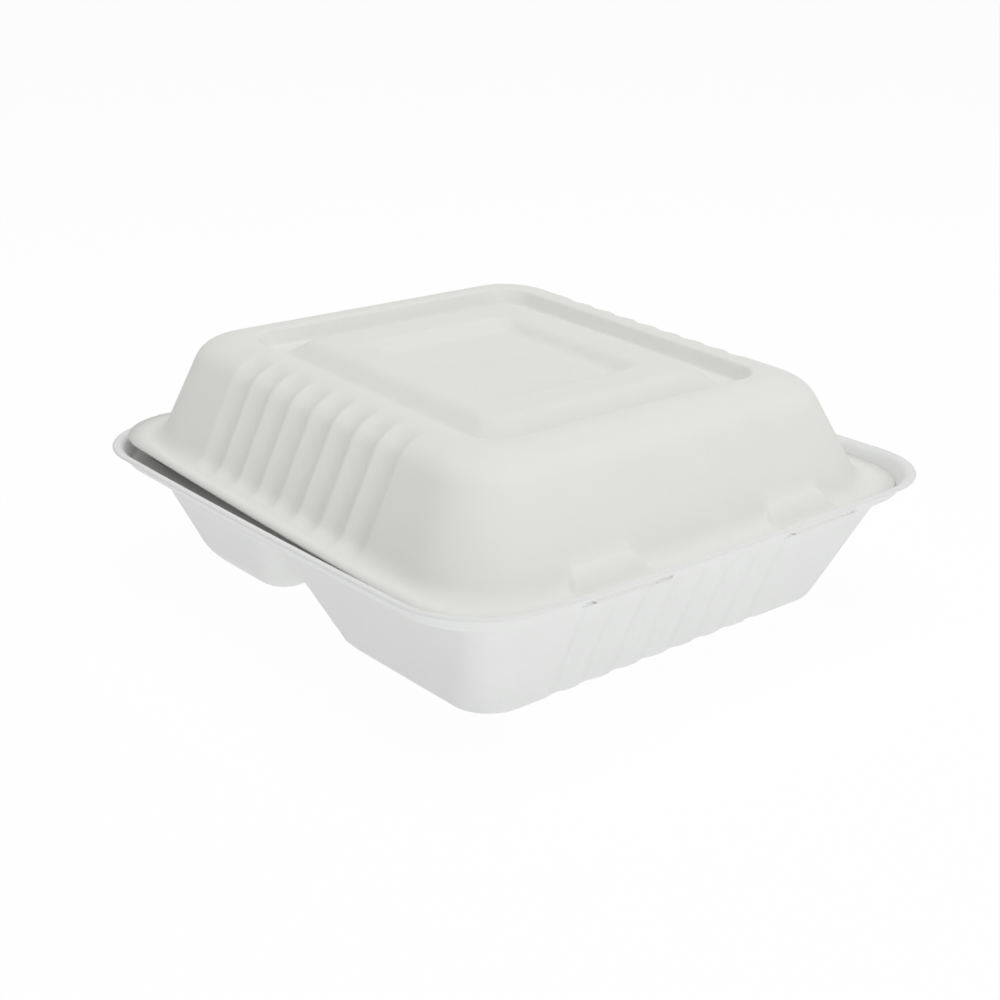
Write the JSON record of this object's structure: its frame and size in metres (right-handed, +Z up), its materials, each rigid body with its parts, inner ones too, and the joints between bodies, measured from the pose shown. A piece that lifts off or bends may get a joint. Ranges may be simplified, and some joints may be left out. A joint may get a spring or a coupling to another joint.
{
  "type": "bagasse clamshell container",
  "caption": "Square moulded-pulp clamshell with a compartmented tray, a ribbed dome lid on a living hinge and tab-and-slot locks at the front.",
  "frame": {"origin": "on the resting plane, under the middle of the container's bounding box", "axes": "+Z up, the front edge with the two locks faces -Y, the hinge runs along X at +Y"},
  "size_m": [0.2298, 0.233, 0.0904],
  "materials": {
    "tray_pulp": "matt",
    "lid_pulp": "matt"
  },
  "bodies": {
    "tray": {"base_tray": "tray_pulp"},
    "cover": {"lid": "lid_pulp"}
  },
  "joints": [
    {"name": "lid_hinge", "type": "hinge", "parent": "tray", "child": "cover", "pos_m": [0, 0.1165, 0.05015], "axis": [-1, 0, 0], "range_deg": [0, 180]}
  ]
}
